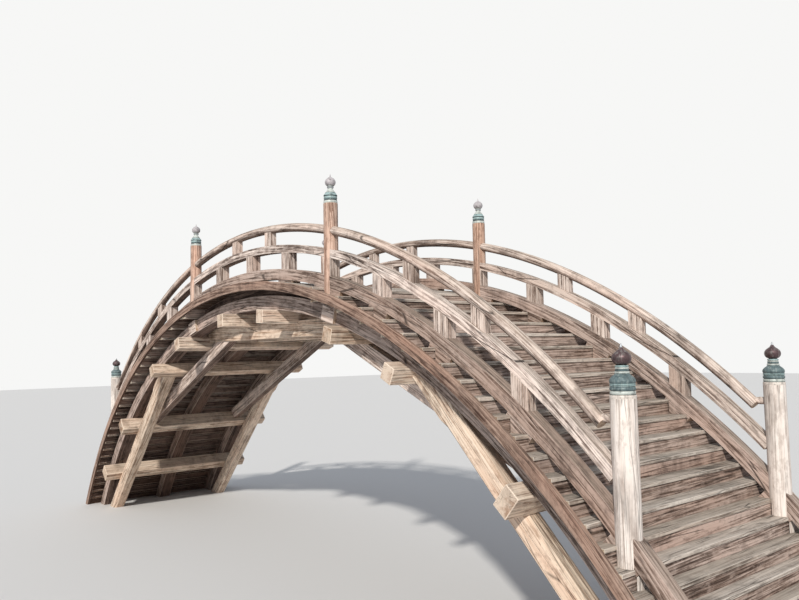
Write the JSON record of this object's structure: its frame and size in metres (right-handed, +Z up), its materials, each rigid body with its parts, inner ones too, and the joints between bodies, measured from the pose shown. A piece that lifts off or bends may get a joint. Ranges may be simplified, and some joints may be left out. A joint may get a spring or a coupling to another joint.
{
  "type": "arched timber garden bridge",
  "caption": "Steep arched timber foot bridge with stepped ends, two bent railings with capped round posts, bent ribs and splayed trestle legs.",
  "frame": {"origin": "on the ground, under the middle of the bridge", "axes": "+X along the bridge, +Y across it, +Z up"},
  "size_m": [16.1658, 3.4, 5.787],
  "materials": {
    "brown_timber": "weathered, brown and open-grained",
    "red_timber": "weathered, red-brown and open-grained",
    "pale_timber": "weathered, pale pinkish grey",
    "grey_timber": "weathered to silver grey",
    "green_copper": "pale green patina",
    "dark_bronze": "dark purple-brown patina",
    "dark_timber": "weathered, dark and shaded"
  },
  "bodies": {
    "root": {"near_sill": "brown_timber", "far_sill": "brown_timber", "near_sill_blocks": "brown_timber", "far_sill_blocks": "brown_timber", "near_fascia": "red_timber", "far_fascia": "red_timber", "near_low_posts": "pale_timber", "far_low_posts": "pale_timber", "near_mid_rail": "pale_timber", "far_mid_rail": "pale_timber", "near_struts": "pale_timber", "far_struts": "pale_timber", "near_top_rail": "pale_timber", "far_top_rail": "pale_timber", "near_arch_posts": "red_timber", "far_arch_posts": "red_timber", "near_end_posts": "grey_timber", "far_end_posts": "grey_timber", "near_arch_caps": "green_copper", "far_arch_caps": "green_copper", "near_end_caps": "dark_bronze", "far_end_caps": "dark_bronze", "near_rib": "brown_timber", "centre_rib": "brown_timber", "far_rib": "brown_timber", "near_carriage": "dark_timber", "centre_carriage": "dark_timber", "far_carriage": "dark_timber", "crown_deck": "grey_timber", "left_treads": "grey_timber", "right_treads": "grey_timber", "left_risers": "brown_timber", "right_risers": "brown_timber", "near_tie_beam": "pale_timber", "centre_tie_beam": "pale_timber", "far_tie_beam": "pale_timber", "left_cross_beams": "pale_timber", "right_cross_beams": "pale_timber", "left_trestle_beams": "pale_timber", "right_trestle_beams": "pale_timber", "left_legs": "pale_timber", "right_legs": "pale_timber", "left_braces": "pale_timber", "right_braces": "pale_timber", "rib_cleats": "grey_timber"}
  },
  "joints": []
}
